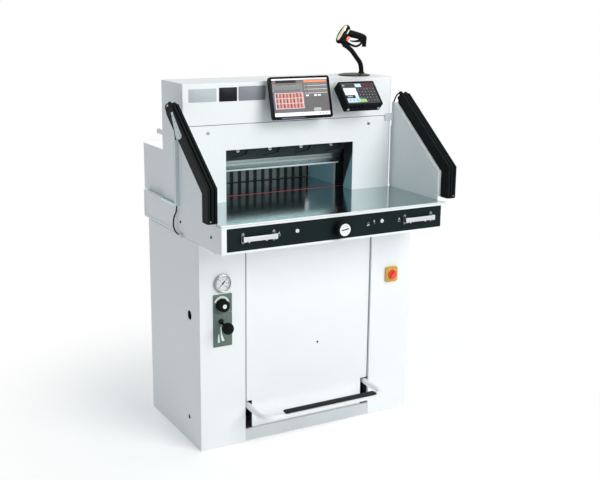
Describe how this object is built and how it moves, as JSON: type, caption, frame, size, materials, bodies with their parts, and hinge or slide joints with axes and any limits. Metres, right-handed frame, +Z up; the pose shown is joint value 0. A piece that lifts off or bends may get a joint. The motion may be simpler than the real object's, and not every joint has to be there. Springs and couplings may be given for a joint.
{
  "type": "electric paper cutter",
  "caption": "Floor-standing guillotine paper cutter with light-curtain guards, hydraulic clamp, programmed backgauge, foot pedal, two screens and a hand scanner.",
  "frame": {"origin": "on the floor under the knife's cutting plane, midway between the sides of the stand", "axes": "+Z up, +Y towards the back of the machine, +X to the operator's right; the knife's cutting plane is Y = 0"},
  "size_m": [1.0216, 0.8229, 1.5391],
  "materials": {
    "painted_white": "satin powder coat",
    "painted_fascia": "satin black",
    "table_steel": "polished",
    "tool_steel": "ground",
    "dark_steel": "satin",
    "bright_metal": "bright",
    "cast_body": "painted",
    "curtain_black": "black anodised",
    "trim_grey": "satin",
    "black_plastic": "fine grain",
    "gloss_black": "gloss",
    "lead_rubber": "smooth",
    "tread_rubber": "ribbed",
    "stick_red": "matte",
    "plate_green": "satin",
    "badge_grey": "satin",
    "switch_red": "gloss",
    "trigger_orange": "gloss",
    "clear_cover": "clear sheet",
    "lay_blue": "satin",
    "motor_grey": "satin"
  },
  "bodies": {
    "machine": {"base_pan": "painted_white", "stand_column_left": "painted_white", "stand_column_right": "painted_white", "rear_panel": "painted_white", "front_panel": "painted_white", "kick_plate": "painted_white", "machine_bed": "painted_white", "front_table_plate": "table_steel", "rear_table_plate": "table_steel", "cutting_stick": "stick_red", "front_beam": "painted_white", "table_front_trim": "trim_grey", "control_fascia": "painted_fascia", "head_frame": "cast_body", "head_casing": "painted_white", "head_upper_cover": "painted_white", "head_lower_cover": "painted_white", "head_rear_cover": "painted_white", "clamp_cylinders": "motor_grey", "gauge_drive": "bright_metal", "side_lays": "lay_blue", "rear_table_guard": "painted_white", "guard_plate_left": "painted_white", "guard_plate_right": "painted_white", "light_curtain_left": "curtain_black", "light_curtain_right": "curtain_black", "guard_fittings": "trim_grey", "sensor_leads": "lead_rubber", "badge_plates": "badge_grey", "control_unit": "black_plastic", "screen_brackets": "dark_steel", "scanner_stand": "black_plastic", "cut_bar_mounts": "bright_metal", "pressure_gauge": "bright_metal", "stand_control_plates": "plate_green", "pedal_bearings": "dark_steel", "power_unit": "motor_grey", "cover_screws": "bright_metal"},
    "knife_carriage": {"knife": "tool_steel", "knife_carrier": "dark_steel", "knife_bolts": "bright_metal"},
    "clamp": {"clamp_beam": "dark_steel"},
    "backgauge": {"backgauge_comb": "tool_steel", "gauge_carriage": "dark_steel"},
    "lead_screw": {"gauge_lead_screw": "bright_metal"},
    "rear_safety_cover": {"rear_cover": "clear_cover"},
    "display": {"monitor": "gloss_black"},
    "hand_scanner": {"scanner_body": "gloss_black"},
    "trigger": {"scanner_trigger": "trigger_orange"},
    "gauge_wheel": {"hand_wheel": "black_plastic"},
    "left_button": {"push_button_left": "bright_metal"},
    "right_button": {"push_button_right": "bright_metal"},
    "left_cut_bar": {"cut_bar_left": "bright_metal"},
    "right_cut_bar": {"cut_bar_right": "bright_metal"},
    "needle": {"gauge_needle": "gloss_black"},
    "pressure_dial": {"pressure_knob": "black_plastic"},
    "mode_selector": {"mode_lever": "black_plastic"},
    "main_switch": {"main_switch_knob": "switch_red"},
    "pedal": {"foot_pedal": "painted_white", "pedal_tread": "tread_rubber"}
  },
  "joints": [
    {"name": "knife_cut", "type": "slide", "parent": "machine", "child": "knife_carriage", "axis": [-0.378, 0, -0.9258], "range_m": [0, 0.102]},
    {"name": "clamp_press", "type": "slide", "parent": "machine", "child": "clamp", "axis": [0, 0, -1], "range_m": [0, 0.102]},
    {"name": "backgauge_feed", "type": "slide", "parent": "machine", "child": "backgauge", "axis": [0, -1, 0], "range_m": [0, 0.186]},
    {"name": "lead_screw_turn", "type": "hinge", "parent": "machine", "child": "lead_screw", "pos_m": [0.303, 0, 0.855], "axis": [0, 1, 0], "range_deg": [0, 6700]},
    {"name": "rear_cover_lift", "type": "hinge", "parent": "machine", "child": "rear_safety_cover", "pos_m": [0, 0.145, 1.146], "axis": [1, 0, 0], "range_deg": [0, 75]},
    {"name": "display_tilt", "type": "hinge", "parent": "machine", "child": "display", "pos_m": [0.008, -0.12674, 1.27532], "axis": [1, 0, 0], "range_deg": [-10, 20]},
    {"name": "scanner_lift", "type": "slide", "parent": "machine", "child": "hand_scanner", "axis": [0, 0, 1], "range_m": [0, 0.08]},
    {"name": "trigger_pull", "type": "hinge", "parent": "hand_scanner", "child": "trigger", "pos_m": [0.305, 0, 1.4942], "axis": [0, -1, 0], "range_deg": [0, 10], "stiffness_Nm_per_rad": 0.05, "springref_deg": -22.92},
    {"name": "gauge_wheel_turn", "type": "hinge", "parent": "machine", "child": "gauge_wheel", "pos_m": [0, -0.47, 0.848], "axis": [0, 1, 0], "continuous": true},
    {"name": "left_button_press", "type": "slide", "parent": "machine", "child": "left_button", "axis": [0, 1, 0], "range_m": [0, 0.002], "stiffness_N_per_m": 300, "springref_m": -0.003},
    {"name": "right_button_press", "type": "slide", "parent": "machine", "child": "right_button", "axis": [0, 1, 0], "range_m": [0, 0.002], "stiffness_N_per_m": 300, "springref_m": -0.003},
    {"name": "left_cut_bar_press", "type": "slide", "parent": "machine", "child": "left_cut_bar", "axis": [0, 1, 0], "range_m": [0, 0.006], "stiffness_N_per_m": 500, "springref_m": -0.006},
    {"name": "right_cut_bar_press", "type": "slide", "parent": "machine", "child": "right_cut_bar", "axis": [0, 1, 0], "range_m": [0, 0.006], "stiffness_N_per_m": 500, "springref_m": -0.006},
    {"name": "needle_swing", "type": "hinge", "parent": "machine", "child": "needle", "pos_m": [-0.368, -0.257, 0.64], "axis": [0, 1, 0], "range_deg": [0, 270]},
    {"name": "pressure_dial_turn", "type": "hinge", "parent": "machine", "child": "pressure_dial", "pos_m": [-0.372, -0.268, 0.56], "axis": [0, 1, 0], "range_deg": [-135, 135]},
    {"name": "mode_select", "type": "hinge", "parent": "machine", "child": "mode_selector", "pos_m": [-0.374, -0.236, 0.496], "axis": [1, 0, 0], "range_deg": [-14, 14]},
    {"name": "main_switch_turn", "type": "hinge", "parent": "machine", "child": "main_switch", "pos_m": [0.3655, -0.268, 0.5815], "axis": [0, 1, 0], "range_deg": [0, 90]},
    {"name": "pedal_press", "type": "hinge", "parent": "machine", "child": "pedal", "pos_m": [0, -0.14, 0.148], "axis": [1, 0, 0], "range_deg": [0, 12], "stiffness_Nm_per_rad": 25, "springref_deg": -28.65}
  ],
  "couplings": [
    {"joint": "lead_screw_turn", "follows": "backgauge_feed", "rad_per_m": 628.32}
  ]
}
